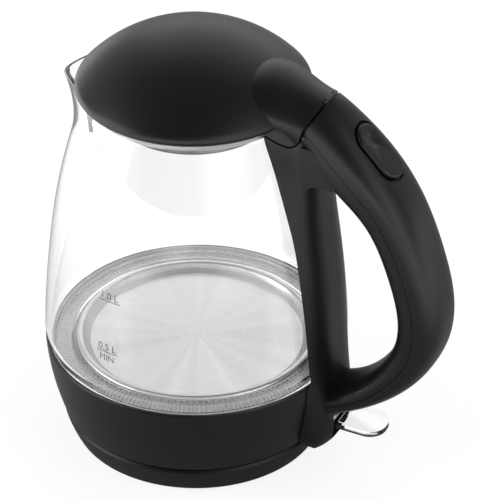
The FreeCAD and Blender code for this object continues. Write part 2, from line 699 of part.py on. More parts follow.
def lid():
    """Domed lid with its neck, liner, seal and steel cap."""
    wall = number_of("wall")
    dome = lathe("dome", [("0", "rim_level + 0.4"), ("lid_radius - 3.7", "rim_level + 0.4", "3.2")]
                 + dome_outline("0"))
    hollow = lathe("dome_hollow", [("0", "rim_level - 1"), ("53.2", "rim_level - 1"), ("53.2", "rim_level + 1.6"),
                                   ("lid_radius - wall", "rim_level + 1.6")] + dome_outline("wall"))
    sweep_room = lathe("sweep_room", [("0", "165"), ("72", "165"), ("60.4", "188"),
                                      ("rim_radius + 0.6", "rim_level + 0.4"), ("0", "rim_level + 0.4")])
    document.recompute()
    knuckle = hinge_bar(KNUCKLE_RADIUS, -KNUCKLE_HALF, KNUCKLE_HALF)
    ear_room = both_sides(lambda a, b: hinge_bar(EAR_RADIUS + HINGE_ROOM, a, b), KNUCKLE_HALF, EAR_END + 0.5)
    tail = neck(0).fuse(strap(0)).common(lid_zone(0)).cut(sweep_room.Shape)
    tail = tail.cut(ear_room).fuse(knuckle.common(grip(0).fuse(neck(0))))
    tail_hollow = neck(wall).fuse(strap(wall)).common(lid_zone(0, xz(-5.2, 2.2)))
    shape = dome.Shape.fuse(tail).cut(hollow.Shape).cut(tail_hollow)
    shape = shape.cut(hinge_bar(number_of("hinge_pin_radius + 0.05"), -20, 20))
    node(freeform("lid_cover", largest(shape)), "lid_cover")
    node(lathe("lid_liner", [
        ("0", "plug_level"), ("plug_radius", "plug_level"), ("plug_radius", "rim_level + 0.4"),
        ("53.2", "rim_level + 0.4"), ("53.2", "rim_level + 2.2"), ("plug_radius - 2", "rim_level + 2.2"),
        ("plug_radius - 2", "plug_level + 2"), ("0", "plug_level + 2")]), "lid_liner")
    node(tube("lid_seal", "plug_radius + 1.4", "plug_radius", "plug_level + 1", "plug_level + 4.5"), "lid_seal")
    node(lathe("lid_steel_cap", [
        ("0", "cap_level"), ("cap_radius - 3", "cap_level", "3"), ("cap_radius", "cap_level + 3"),
        ("cap_radius", "plug_level"), ("cap_radius - sheet_wall", "plug_level"),
        ("cap_radius - sheet_wall", "cap_level + 3", "sheet_wall - 3"),
        ("cap_radius - 3", "cap_level + sheet_wall"), ("0", "cap_level + sheet_wall")]), "lid_steel_cap")


def largest(shape):
    """Main solid of a shape, without loose crumbs."""
    return max(shape.Solids, key=lambda solid: solid.Volume)


def back_zone(shift):
    """Everything outside the middle line of the grip, where the two handle shells meet."""
    line = Part.BSplineCurve()
    line.interpolate([station.middle(shift) for station in grip_stations()])
    first, last = line.value(line.FirstParameter), line.value(line.LastParameter)
    points = [last, xz(last.x - 10, 15), xz(175, 15), xz(175, 250), xz(first.x, 250), first]
    edges = [line.toShape()] + [Part.LineSegment(a, b).toShape() for a, b in zip(points, points[1:])]
    return prism(edges, 50)


BUTTON_TOP = (99.6, 188.8)
BUTTON_TILT = 44.6
RECESS_DEPTH = 2.7
BOSS_DEPTH = 5.2


def button_place(along=0.0):
    """Place on the face of the release button, its Z pointing out of the handle."""
    turned = Rotation(Vector(0, 1, 0), BUTTON_TILT)
    return Placement(xz(*BUTTON_TOP) + turned.multVec(Vector(along, 0, 0)), turned)


def at_button(shape):
    """Set a shape drawn flat at the origin on the face of the release button."""
    shape.Placement = button_place()
    return shape


def pill(length, width, low, high):
    """Round-ended block between two depths below the button face."""
    half, radius = (length - width) / 2, width / 2
    corners = [Vector(-half, -radius, low), Vector(half, -radius, low), Vector(half, radius, low),
               Vector(-half, radius, low)]
    wire = Part.Wire([
        Part.LineSegment(corners[0], corners[1]).toShape(),
        Part.Arc(corners[1], Vector(half + radius, 0, low), corners[2]).toShape(),
        Part.LineSegment(corners[2], corners[3]).toShape(),
        Part.Arc(corners[3], Vector(-half - radius, 0, low), corners[0]).toShape()])
    return Part.Face(wire).extrude(Vector(0, 0, high - low))


def block(length, width, low, high, start):
    """Block along the handle under the button, from a start along its length."""
    solid = Part.makeBox(length, width, high - low, Vector(start, -width / 2, low))
    return at_button(solid)


def web():
    """Gusset that closes the top of the hand hole between the strap and the grip."""
    start, crest, end = xz(66.5, 165.0), xz(73.3, 170.1), xz(82.0, 169.8)
    points = [end, xz(88, 176), xz(72, 190), xz(60, 190), start]
    edges = [Part.LineSegment(a, b).toShape() for a, b in zip(points, points[1:])]
    return prism([Part.Arc(start, crest, end).toShape()] + edges, 17.0)


SWITCH_RADIUS = 5.2
SWITCH_LEVEL = 39.4


def handle():
    """Strap with the inner shell, the back shell and the pieces they hold."""
    wall = number_of("wall")
    around = envelope("handle_envelope", "0.4")
    document.recompute()
    body, body_hollow = grip(0), grip(wall)
    column = strap(0)
    upper = Part.makeBox(300, 200, 200, Vector(-100, -100, 100))
    lower = Part.makeBox(300, 200, 100, Vector(-100, -100, 0))
    column_hollow = strap(wall).common(Part.makeBox(100, 100, 36, Vector(20, -50, 150))).cut(around.Shape)
    lid_room = lid_zone(number_of("part_gap")).cut(both_sides(
        lambda a, b: hinge_bar(EAR_RADIUS, a, b), KNUCKLE_HALF + 0.3, EAR_END))
    lid_room = lid_room.fuse(hinge_bar(KNUCKLE_RADIUS + HINGE_ROOM, -KNUCKLE_HALF - 0.3, KNUCKLE_HALF + 0.3))
    pin_bore = hinge_bar(number_of("hinge_pin_radius"), -EAR_END, EAR_END)

    back = back_zone(0.15)
    shell = body.cut(body_hollow).fuse(at_button(pill(46, 25, -BOSS_DEPTH, 4)).common(body))
    ears = both_sides(lambda a, b: hinge_bar(EAR_RADIUS, a, b), KNUCKLE_HALF + 0.3, EAR_END).common(body)
    shell = shell.common(back).fuse(ears).cut(lid_room).cut(column.common(lower)).cut(around.Shape)
    length, width = number_of("button_length"), number_of("button_width")
    shell = shell.cut(at_button(pill(length + 3.2, width + 3.2, -RECESS_DEPTH, 8)))
    shell = shell.cut(at_button(pill(length + 0.8, width + 0.8, -9, 8))).cut(pin_bore)
    node(freeform("handle_outer", largest(shell)), "handle_outer")

    front = back_zone(-0.15)
    latch_guide = block(6, 60, -18.4, -10, -18).common(grip(wall + 0.4))
    latch_guide = latch_guide.fuse(block(6, 60, -18.4, -10, -18).common(body).cut(front))
    spring_seat = block(9, 60, -18.4, -16, 4).common(body).cut(front)
    inner = body.fuse(web()).cut(front).fuse(column.cut(front.common(upper)))
    inner = inner.cut(body_hollow).cut(column_hollow).fuse(latch_guide).fuse(spring_seat)
    inner = inner.cut(around.Shape).cut(lid_room).cut(block(40, 8.8, -15.9, -12.1, -30))
    lever_room = Part.makeBox(22, number_of("lever_width + 2"), 14.5, xz(72, 19, -number_of("lever_width") / 2 - 1))
    lever_bore = Part.makeCylinder(1.0, 31, xz(number_of("lever_reach"), number_of("lever_level"), -15.5),
                                   Vector(0, 1, 0))
    foot_pilots = [Part.makeCylinder(1.3, 8.4, xz(70, 40, y), Vector(1, 0, 0)) for y in (-16.5, 16.5)]
    switch_seat = Part.makeCylinder(SWITCH_RADIUS + 0.1, 5, xz(75, SWITCH_LEVEL), Vector(1, 0, 0))
    for tool in [lever_room, lever_bore, switch_seat] + foot_pilots:
        inner = inner.cut(tool)
    node(freeform("handle_inner", largest(inner)), "handle_inner")

    node(cylinder("lid_hinge_pin", "hinge_pin_radius", str(2 * EAR_END),
                  ("hinge_reach", str(-EAR_END), "hinge_level"), AROUND_Y), "lid_hinge_pin")
    foot_screws = []
    for side, y in (("near", "-16.5"), ("far", "16.5")):
        head = cylinder("foot_head_" + side, "2.6", "1.8", ("67.3", y, "40"), AROUND_X)
        shank = cylinder("foot_shank_" + side, "1.3", "10.2", ("67.3", y, "40"), AROUND_X)
        foot_screws.append(joined("foot_screw_" + side, head, shank))
    node(group("handle_screws", foot_screws), "handle_screws")
    steam_pieces()


def steam_pieces():
    """Steam tube through the grip, and the switch it trips in the foot."""
    run = [station for station in grip_stations() if station.outer.x > 84]
    points = [station.inward(2 * station.half_thick - 5.6) for station in run[::2]]
    points.append(xz(88.5, 45.6))
    path = Part.BSplineCurve()
    path.interpolate(points)
    tubes = []
    for radius in (2.2, 1.6):
        start, direction = path.value(path.FirstParameter), path.tangent(path.FirstParameter)[0]
        ring = Part.Wire([Part.Circle(start, direction, radius).toShape()])
        tubes.append(Part.Wire([path.toShape()]).makePipeShell([ring], True, True))
    node(freeform("steam_tube", tubes[0].cut(tubes[1])), "steam_tube")
    node(cylinder("steam_switch", str(SWITCH_RADIUS), "3", ("77", "0", str(SWITCH_LEVEL)), AROUND_X), "steam_switch")


def lever():
    """Clear paddle in the foot that switches the kettle on."""
    half = number_of("lever_width") / 2
    pivot, level = number_of("lever_reach"), number_of("lever_level")
    tip, corner = pivot + number_of("lever_length"), 9.0

    def paddle(margin, low, high):
        """Round-cornered plate with a margin all round."""
        side, end, turn = half - margin, tip - margin, corner - margin
        start = pivot + margin * 2
        bow = turn * (1 - math.sqrt(0.5))
        outline = [
            Part.LineSegment(Vector(start, -side, low), Vector(end - turn, -side, low)).toShape(),
            Part.Arc(Vector(end - turn, -side, low), Vector(end - bow, -side + bow, low),
                     Vector(end, -side + turn, low)).toShape(),
            Part.LineSegment(Vector(end, -side + turn, low), Vector(end, side - turn, low)).toShape(),
            Part.Arc(Vector(end, side - turn, low), Vector(end - bow, side - bow, low),
                     Vector(end - turn, side, low)).toShape(),
            Part.LineSegment(Vector(end - turn, side, low), Vector(start, side, low)).toShape(),
            Part.LineSegment(Vector(start, side, low), Vector(start, -side, low)).toShape()]
        return Part.Face(Part.Wire(outline)).extrude(Vector(0, 0, high - low))

    hub = Part.makeCylinder(2.6, 2 * half, xz(pivot, level, -half), Vector(0, 1, 0))
    bore = Part.makeCylinder(1.05, 2 * half, xz(pivot, level, -half), Vector(0, 1, 0))
    plate = paddle(0, level - 1.5, level + 1.5).cut(paddle(2.2, level + 0.5, level + 2))
    node(freeform("switch_lever", plate.fuse(hub).cut(bore)), "switch_lever")
    node(cylinder("lever_pin", "1", "31", ("lever_reach", "-15.5", "lever_level"), AROUND_Y), "lever_pin")


def bowed_leaf(half_length, width, low, high):
    """Strip of spring steel bowed up between two depths below the button face."""
    leaf = number_of("leaf_wall")
    feet = [xz(-half_length, low), xz(half_length, low), xz(half_length - leaf, low), xz(leaf - half_length, low)]
    edges = [Part.Arc(feet[0], xz(0, high), feet[1]).toShape(), Part.LineSegment(feet[1], feet[2]).toShape(),
             Part.Arc(feet[2], xz(0, high - leaf), feet[3]).toShape(), Part.LineSegment(feet[3], feet[0]).toShape()]
    return prism(edges, width / 2)


def button():
    """Lid release button, its return spring and the latch slider it drives."""
    length, width = number_of("button_length"), number_of("button_width")
    rise = number_of("button_rise")
    cap = pill(length, width, -6.5, rise)
    rim = [edge for edge in cap.Edges if min(vertex.Z for vertex in edge.Vertexes) > -0.1]
    cap = cap.makeFillet(1.4, rim).fuse(pill(length + 3, width + 3, -7.5, -6))
    thumb_radius, thumb_depth = 9.0, 0.9
    thumb_place = Vector(width / 2 + 1.2 - length / 2, 0, rise + thumb_radius - thumb_depth)
    cap = cap.cut(Part.makeSphere(thumb_radius, thumb_place))
    node(freeform("release_button", cap.removeSplitter(), button_place()), "release_button")
    node(freeform("button_spring", bowed_leaf(4.4, 6, -13.4, -7.5), button_place(along=8.5)), "button_spring")
    slider = Part.makeBox(22, 8, 3, Vector(-24, -4, -15.5))
    node(freeform("latch_slider", slider, button_place()), "latch_slider")


def write_pieces():
    """Check every object and write the finished pieces."""
    document.recompute()
    for item in document.Objects:
        if "Invalid" in item.State or "Error" in item.State:
            raise RuntimeError("%s could not be built: %s" % (item.Label, item.State))
    os.makedirs("parts", exist_ok=True)
    for item in NODES:
        if item.Shape.isNull() or not item.Shape.isValid():
            raise RuntimeError("%s has no sound shape" % item.Label)
        item.Shape.exportStep(os.path.join("parts", item.Label + ".step"))


power_base()
heated_housing()
glass_jug()
filter_pieces()
lid()
handle()
lever()
button()
write_pieces()
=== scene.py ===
"""Looks of an electric kettle with a glass jug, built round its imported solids.

Metres. Z runs up the axis of the jug from the table, +X points to the handle and -X to the spout.
"""

import json
import logging
import math
from dataclasses import dataclass, field
from enum import Enum
from typing import Iterable, Sequence

import bmesh
import bpy
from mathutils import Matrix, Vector

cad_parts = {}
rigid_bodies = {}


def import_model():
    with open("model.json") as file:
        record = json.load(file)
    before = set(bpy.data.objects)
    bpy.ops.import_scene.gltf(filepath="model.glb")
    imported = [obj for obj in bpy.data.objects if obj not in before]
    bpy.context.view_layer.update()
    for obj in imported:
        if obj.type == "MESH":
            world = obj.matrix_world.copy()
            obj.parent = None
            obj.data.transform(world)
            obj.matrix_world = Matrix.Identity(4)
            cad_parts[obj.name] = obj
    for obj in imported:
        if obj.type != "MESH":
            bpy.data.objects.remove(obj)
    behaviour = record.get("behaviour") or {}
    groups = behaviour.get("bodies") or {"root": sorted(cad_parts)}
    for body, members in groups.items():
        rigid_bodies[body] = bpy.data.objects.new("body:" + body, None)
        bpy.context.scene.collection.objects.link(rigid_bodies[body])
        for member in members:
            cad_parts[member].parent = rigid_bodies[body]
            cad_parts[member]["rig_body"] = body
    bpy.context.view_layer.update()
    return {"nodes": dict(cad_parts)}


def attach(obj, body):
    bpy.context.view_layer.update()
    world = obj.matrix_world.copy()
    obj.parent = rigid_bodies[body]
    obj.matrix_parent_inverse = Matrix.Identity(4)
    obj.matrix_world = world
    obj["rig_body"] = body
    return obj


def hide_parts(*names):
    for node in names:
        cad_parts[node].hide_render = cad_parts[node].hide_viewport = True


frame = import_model()

MM = 0.001
MERGE_DISTANCE = 0.002 * MM
SOLID_CREASE = 30.0
LEVEL_PART = (1.0, 1.0, 0.0)
Colour = tuple[float, float, float, float]
Value = float | Colour | bpy.types.NodeSocket
Span = tuple[float, float]
Direction = tuple[float, float, float]
Sockets = bpy.types.bpy_prop_collection
log = logging.getLogger("kettle")


def grey(level: float, warmth: float = 0.0) -> Colour:
    """Neutral colour of a level, with a touch of warmth."""
    return (level * (1 + warmth), level, level * (1 - warmth), 1.0)


class Body(Enum):
    """Moving groups of the kettle."""

    BASE = "power_base"
    PIN = "base_pin"
    KETTLE = "kettle"
    LID = "lid"
    BUTTON = "button"
    LATCH = "latch"
    LEVER = "lever"


class Graph:
    """Short ways to add nodes to one tree and to join them."""

    def __init__(self, tree: bpy.types.NodeTree) -> None:
        """Keep the tree that the nodes go into."""
        self.tree = tree

    def add(self, kind: str, inputs: dict | None = None, **settings: object) -> bpy.types.Node:
        """Add a node.

        Args:
            kind: Blender's name for the type of node.
            inputs: Values or sockets for its inputs, by name or number.
            settings: Values for the node's own properties.

        Returns:
            The new node.
        """
        node = self.tree.nodes.new(kind)
        for key, value in settings.items():
            setattr(node, key, value)
        for key, value in (inputs or {}).items():
            self.feed(node.inputs[key], value)
        return node

    def feed(self, socket: bpy.types.NodeSocket, value: object) -> None:
        """Join an output to a socket, or set the socket to a plain value."""
        if isinstance(value, bpy.types.NodeSocket):
            self.tree.links.new(value, socket)
        else:
            socket.default_value = value

    def math(self, operation: str, first: Value, second: Value = 0.0) -> bpy.types.NodeSocket:
        """Result of one sum on two values."""
        return self.add("ShaderNodeMath", {0: first, 1: second}, operation=operation).outputs[0]

    def mix(self, factor: Value, first: Value, second: Value) -> bpy.types.NodeSocket:
        """Colour between two others."""
        node = self.add("ShaderNodeMix", {0: factor, 6: first, 7: second}, data_type="RGBA")
        return node.outputs[2]

    def blend(self, factor: Value, first: Value, second: Value) -> bpy.types.NodeSocket:
        """Plain value between two others."""
        return self.add("ShaderNodeMix", {0: factor, 2: first, 3: second}).outputs[0]

    def vector(self, operation: str, first: Value, second: Direction = LEVEL_PART) -> bpy.types.NodeSocket:
        """Result of one sum on a vector, with a second that keeps its level part unless another is given."""
        node = self.add("ShaderNodeVectorMath", {0: first, 1: second}, operation=operation)
        return node.outputs["Value" if operation in ("LENGTH", "DOT_PRODUCT") else "Vector"]

    def ranged(self, value: Value, given: Span, result: Span, **settings: object) -> bpy.types.NodeSocket:
        """Value moved from one range to another and held inside it.

        Args:
            value: What is moved.
            given: Range that it comes from.
            result: Range that it goes to.
            settings: Values for the node's own properties.

        Returns:
            The moved value.
        """
        limits = {"From Min": given[0], "From Max": given[1], "To Min": result[0], "To Max": result[1]}
        return self.add("ShaderNodeMapRange", {"Value": value, **limits}, **settings).outputs[0]

    def around(self, value: Value, middle: float, spread: float) -> bpy.types.NodeSocket:
        """Value from 0 to 1 moved to a range about a middle."""
        return self.ranged(value, (0.0, 1.0), (middle - spread, middle + spread))

    def group(self, name: str, inputs: dict[str, Value]) -> bpy.types.Node:
        """Place a shared effect with its own values."""
        node = self.add("ShaderNodeGroup", node_tree=bpy.data.node_groups[name])
        for key, value in inputs.items():
            self.feed(node.inputs[key], value)
        return node


class Effects:
    """Shared effects that the finishes place with their own values."""

    GRAIN = "moulded_grain"
    MARKS = "turned_marks_and_painted_fans"
    DUST = "settled_dust"
    BROAD_SCALE = 22.0
    FINE_DETAIL = 3.0
    PIT_SHARE = 0.5
    SPECK_SCALE = 900.0
    SPECK_DETAIL = 4.0
    FLAT_POWER = 3.0

    def build(self) -> None:
        """Make every effect once."""
        self.moulded_grain()
        self.turned_marks_and_painted_fans()
        self.settled_dust()

    @staticmethod
    def blank(name: str, inputs: dict[str, float], outputs: Sequence[str]) -> tuple[Graph, Sockets, Sockets]:
        """Start a group of nodes.

        Args:
            name: Name of the group.
            inputs: Named inputs and their usual values.
            outputs: Names of the outputs.

        Returns:
            The graph, the sockets that give the inputs and the sockets that take the outputs.
        """
        tree = bpy.data.node_groups.new(name, "ShaderNodeTree")
        for label, value in inputs.items():
            socket = tree.interface.new_socket(label, in_out="INPUT", socket_type="NodeSocketFloat")
            socket.default_value = value
        for label in outputs:
            tree.interface.new_socket(label, in_out="OUTPUT", socket_type="NodeSocketFloat")
        graph = Graph(tree)
        return graph, graph.add("NodeGroupInput").outputs, graph.add("NodeGroupOutput").inputs

    def moulded_grain(self) -> None:
        """Fine spark-eroded skin of a plastic mould, with broad drifts of tone."""
        graph, given, result = self.blank(self.GRAIN, {"Cell": 0.0004}, ("Height", "Fine", "Broad"))
        place = graph.add("ShaderNodeTexCoord").outputs["Object"]
        scale = graph.math("DIVIDE", 1.0, given["Cell"])
        fine = graph.add("ShaderNodeTexNoise", {
            "Vector": place, "Scale": scale, "Detail": self.FINE_DETAIL}).outputs[0]
        pits = graph.add("ShaderNodeTexVoronoi", {"Vector": place, "Scale": scale}).outputs["Distance"]
        broad = graph.add("ShaderNodeTexNoise", {"Vector": place, "Scale": self.BROAD_SCALE}).outputs[0]
        graph.feed(result["Height"], graph.math("ADD", fine, graph.math("MULTIPLY", pits, self.PIT_SHARE)))
        graph.feed(result["Fine"], fine)
        graph.feed(result["Broad"], broad)

    def turned_marks_and_painted_fans(self) -> None:
        """Fine rings of a spun or polished sheet, and fans of painted highlight that run across them."""
        graph, given, result = self.blank(self.MARKS, {"Pitch": 0.0005, "Streaks": 4.0}, ("Rings", "Fan highlight"))
        place = graph.add("ShaderNodeTexCoord").outputs["Object"]
        level = graph.vector("MULTIPLY", place)
        radius = graph.vector("LENGTH", level)
        turn = graph.vector("NORMALIZE", level)
        steps = graph.math("DIVIDE", radius, given["Pitch"])
        rings = graph.add("ShaderNodeTexNoise", {"W": steps, "Scale": 1.0}, noise_dimensions="1D").outputs[0]
        # Noise on the direction round the axis: fans of painted highlight, as a spun sheet shows them under
        # lamps.
        fan_highlight = graph.add("ShaderNodeTexNoise", {"Vector": turn, "Scale": given["Streaks"]}).outputs[0]
        graph.feed(result["Rings"], rings)
        graph.feed(result["Fan highlight"], fan_highlight)

    def settled_dust(self) -> None:
        """Thin dust that lies on faces that look up."""
        graph, given, result = self.blank(self.DUST, {"Amount": 0.05}, ("Mask",))
        place = graph.add("ShaderNodeTexCoord").outputs["Object"]
        normal = graph.add("ShaderNodeNewGeometry").outputs["Normal"]
        rise = graph.add("ShaderNodeSeparateXYZ", {0: normal}).outputs["Z"]
        flat = graph.math("POWER", graph.math("MAXIMUM", rise, 0.0), self.FLAT_POWER)
        specks = graph.add("ShaderNodeTexNoise", {
            "Vector": place, "Scale": self.SPECK_SCALE, "Detail": self.SPECK_DETAIL}).outputs[0]
        dusted = graph.math("MULTIPLY", flat, specks)
        graph.feed(result["Mask"], graph.math("MULTIPLY", dusted, given["Amount"]))


@dataclass(frozen=True)
class Finish:
    """A named material and the name of the record's slot that it belongs to; nothing here reads the slot."""

    name: str
    slot: str

    def material(self) -> bpy.types.Material:
        """Material of this finish, made the first time it is asked for."""
        known = bpy.data.materials.get(self.name)
        if known:
            return known
        material = bpy.data.materials.new(self.name)
        material.use_nodes = True
        self.shade(Graph(material.node_tree), material.node_tree.nodes["Principled BSDF"])
        return material

    def shade(self, graph: Graph, shader: bpy.types.Node) -> None:
        """Feed the shader of the material."""
        raise NotImplementedError


DUST_COLOUR = grey(0.32, 0.05)


@dataclass(frozen=True)
class Moulding(Finish):
    """Plastic, rubber or ink with a fine skin."""

    dark: Colour
    light: Colour
    roughness: float
    spread: float = 0.06
    specular: float = 0.3
    cell: float = 0.35 * MM
    depth: float = 0.012 * MM
    dust: float = 0.02

    def shade(self, graph: Graph, shader: bpy.types.Node) -> None:
        """Feed the shader with the skin's tone, gloss and relief."""
        grain = graph.group(Effects.GRAIN, {"Cell": self.cell})
        dust = graph.group(Effects.DUST, {"Amount": self.dust})
        tone = graph.mix(grain.outputs["Broad"], self.dark, self.light)
        relief = graph.add("ShaderNodeBump", {"Height": grain.outputs["Height"], "Distance": self.depth})
        graph.feed(shader.inputs["Base Color"], graph.mix(dust.outputs["Mask"], tone, DUST_COLOUR))
        gloss = graph.around(grain.outputs["Fine"], self.roughness, self.spread)
        graph.feed(shader.inputs["Roughness"], gloss)
        graph.feed(shader.inputs["Normal"], relief.outputs[0])
        shader.inputs["Specular IOR Level"].default_value = self.specular


@dataclass(frozen=True)
class RimHighlightMoulding(Moulding):
    """Plastic shell with a pale band painted in a groove about its axis, as the bright highlight lines of the
    rim.
    """

    painted_rim_highlight: Colour = grey(0.6)
    groove_radius: float = 75.6 * MM
    groove_floor: float = 49.0 * MM

    def shade(self, graph: Graph, shader: bpy.types.Node) -> None:
        """Feed the shader with the plain skin, and lay the painted rim highlight over its colour."""
        super().shade(graph, shader)
        skin = shader.inputs["Base Color"].links[0].from_socket
        place = graph.add("ShaderNodeTexCoord").outputs["Object"]
        level = graph.add("ShaderNodeSeparateXYZ", {0: place}).outputs["Z"]
        radius = graph.vector("LENGTH", graph.vector("MULTIPLY", place))
        inside = graph.math("LESS_THAN", radius, self.groove_radius)
        above = graph.math("GREATER_THAN", level, self.groove_floor)
        # Pale grey inside the groove and above its floor: painted highlight of the rim's bright lines.
        rim_highlighted = graph.mix(graph.math("MULTIPLY", inside, above), skin, self.painted_rim_highlight)
        graph.feed(shader.inputs["Base Color"], rim_highlighted)


@dataclass(frozen=True)
class TurnedMetal(Finish):
    """Metal with the rings of its making, and fans of painted highlight in its colour."""

    # Dark and light are the two ends of the painted highlight fans in the colour.
    dark: Colour
    light: Colour
    roughness: float
    spread: float = 0.08
    pitch: float = 0.25 * MM
    highlight_fans: float = 5.0
    anisotropy: float = 0.0
    depth: float = 0.004 * MM

    def shade(self, graph: Graph, shader: bpy.types.Node) -> None:
        """Feed the shader with painted highlight fans in its colour, and with its rings."""
        marks = graph.group(Effects.MARKS, {"Pitch": self.pitch, "Streaks": self.highlight_fans})
        relief = graph.add("ShaderNodeBump", {"Height": marks.outputs["Rings"], "Distance": self.depth})
        around_axis = graph.add("ShaderNodeTangent", direction_type="RADIAL", axis="Z")
        # Colour runs from dark to light across the fans: painted highlight.
        graph.feed(shader.inputs["Base Color"], graph.mix(marks.outputs["Fan highlight"], self.dark, self.light))
        gloss = graph.around(marks.outputs["Rings"], self.roughness, self.spread)
        graph.feed(shader.inputs["Roughness"], gloss)
        graph.feed(shader.inputs["Normal"], relief.outputs[0])
        graph.feed(shader.inputs["Tangent"], around_axis.outputs[0])
        shader.inputs["Metallic"].default_value = 1.0
        shader.inputs["Anisotropic"].default_value = self.anisotropy


@dataclass(frozen=True)
class ClearBody(Finish):
    """Glass or clear plastic with a faint haze."""

    dark: Colour
    light: Colour
    roughness: float
    spread: float
    index: float
    shadow: float = 0.9
    haze_cell: float = 1.5 * MM

    def shade(self, graph: Graph, shader: bpy.types.Node) -> None:
        """Feed the shader with the haze, and let light through to what lies behind."""
        grain = graph.group(Effects.GRAIN, {"Cell": self.haze_cell})
        haze = graph.around(grain.outputs["Broad"], self.roughness, self.spread)
        lit = graph.math("MULTIPLY", graph.add("ShaderNodeLightPath").outputs["Is Shadow Ray"], self.shadow)
        graph.feed(shader.inputs["Base Color"], graph.mix(grain.outputs["Broad"], self.dark, self.light))
        graph.feed(shader.inputs["Roughness"], haze)
        graph.feed(shader.inputs["Alpha"], graph.math("SUBTRACT", 1.0, lit))
        shader.inputs["IOR"].default_value = self.index
        shader.inputs["Transmission Weight"].default_value = 1.0


CHARCOAL_SLOT = "charcoal_plastic"
CHARCOAL_TONES = (grey(0.006), grey(0.009))
CHARCOAL = Moulding("charcoal_moulding", CHARCOAL_SLOT, *CHARCOAL_TONES, 0.38, specular=0.28)
HOUSING_SKIN_WITH_RIM_HIGHLIGHT = RimHighlightMoulding("housing_moulding_rim_highlight", CHARCOAL_SLOT, *CHARCOAL_TONES, 0.38, specular=0.28)
BUTTON_SKIN = Moulding("button_moulding", "button_plastic", grey(0.007), grey(0.01), 0.34, specular=0.3)
SOCKET_SKIN = Moulding("socket_moulding", "socket_plastic", grey(0.02), grey(0.03), 0.5)
RUBBER = Moulding(
    "foot_rubber_skin", "foot_rubber", grey(0.02), grey(0.03), 0.75, cell=0.6 * MM, dust=0.1)
SILICONE = Moulding("seal_silicone_skin", "seal_silicone", grey(0.42), grey(0.5), 0.5)
BOARD = Moulding("board_lacquer", CHARCOAL_SLOT, grey(0.72), grey(0.8), 0.4, depth=0.004 * MM)
LAMP = Moulding(
    "lamp_lens", "clear_plastic", (0.75, 0.72, 0.5, 1.0), (0.85, 0.82, 0.6, 1.0), 0.3)
INK = Moulding("scale_ink", CHARCOAL_SLOT, grey(0.14), grey(0.2), 0.6, dust=0.0)
PLATE = TurnedMetal(
    "brushed_plate_steel", "brushed_plate", grey(0.35), grey(0.52), 0.3, anisotropy=0.7)
CAP_STEEL = TurnedMetal(
    "brushed_cap_steel", "brushed_plate", grey(0.16), grey(0.4), 0.26, anisotropy=0.6)
CAST = TurnedMetal(
    "cast_aluminium_skin", "cast_aluminium", grey(0.5), grey(0.62), 0.5, pitch=0.9 * MM)
# Near-black colour on the hinge pin is painted shade, so that its ends read as the dark hinge gap.
PIN_STEEL_PAINTED_SHADE = TurnedMetal("pin_steel_painted_shade", "fastener_steel", grey(0.015), grey(0.025), 0.42)
FASTENER = TurnedMetal("fastener_plating", "fastener_steel", grey(0.5), grey(0.62), 0.32)
BRASS = TurnedMetal(
    "contact_brass_skin", "contact_brass", (0.62, 0.44, 0.2, 1.0), (0.75, 0.55, 0.28, 1.0), 0.3)
GLASS = ClearBody("jug_glass_body", "jug_glass", grey(0.98), grey(1.0), 0.004, 0.004, 1.5)
CLEAR = ClearBody("clear_plastic_body", "clear_plastic", grey(0.93), grey(0.98), 0.06, 0.03, 1.45, 0.7)


def finished(name: str, mesh: bpy.types.Mesh, finish: Finish, body: Body, nodes: Iterable[str] = ()) -> None:
    """Turn a mesh into a piece of the kettle.

    Args:
        name: Name of the piece.
        mesh: Its shape, already in place.
        finish: What it is made of.
        body: The moving group that carries it.
        nodes: Solids that it stands for.
    """
    piece = bpy.data.objects.new(name, mesh)
    bpy.context.scene.collection.objects.link(piece)
    mesh.materials.clear()
    mesh.materials.append(finish.material())
    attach(piece, body.value)
    if nodes:
        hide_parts(*nodes)
    log.info("piece %s with %d faces", name, len(mesh.polygons))


def shaded(mesh: bpy.types.Mesh, crease: float) -> bpy.types.Mesh:
    """Smooth a mesh, with hard edges where its faces turn by more than an angle in degrees."""
    mesh.polygons.foreach_set("use_smooth", [True] * len(mesh.polygons))
    mesh.set_sharp_from_angle(angle=math.radians(crease))
    mesh.update()
    return mesh


def smooth_copy(node: str, finish: Finish) -> None:
    """Stand a merged and smoothed copy in the place of a solid.

    Args:
        node: Name of the solid.
        finish: What it is made of.
    """
    source = frame["nodes"][node]
    work = bmesh.new()
    work.from_mesh(source.data)
    bmesh.ops.remove_doubles(work, verts=work.verts, dist=MERGE_DISTANCE)
    points = [vertex.co.copy() for vertex in work.verts]
    faces = [[vertex.index for vertex in face.verts] for face in work.faces]
    work.free()
    mesh = bpy.data.meshes.new(node + "_skin")
    mesh.from_pydata(points, [], faces)
    finished(node + "_skin", shaded(mesh, SOLID_CREASE), finish, Body(source["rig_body"]), [node])


def closed_grid(name: str, rows: Sequence[Sequence[Vector]]) -> bpy.types.Mesh:
    """Mesh of rings of points that close round and on to the first ring again.

    Args:
        name: Name of the mesh.
        rows: Rings with the same number of points each.

    Returns:
        A closed mesh whose faces point outwards.
    """
    count, around = len(rows), len(rows[0])
    points = [point for row in rows for point in row]
    faces = []
    for row in range(count):
        for step in range(around):
            following = (step + 1) % around
            above = (row + 1) % count
            faces.append((row * around + step, row * around + following,
                          above * around + following, above * around + step))
    mesh = bpy.data.meshes.new(name)
    mesh.from_pydata(points, [], faces)
    return outward(mesh)


def outward(mesh: bpy.types.Mesh) -> bpy.types.Mesh:
    """Turn the faces of a closed mesh outwards."""
    work = bmesh.new()
    work.from_mesh(mesh)
    bmesh.ops.recalc_face_normals(work, faces=work.faces)
    work.to_mesh(mesh)
    work.free()
    return mesh


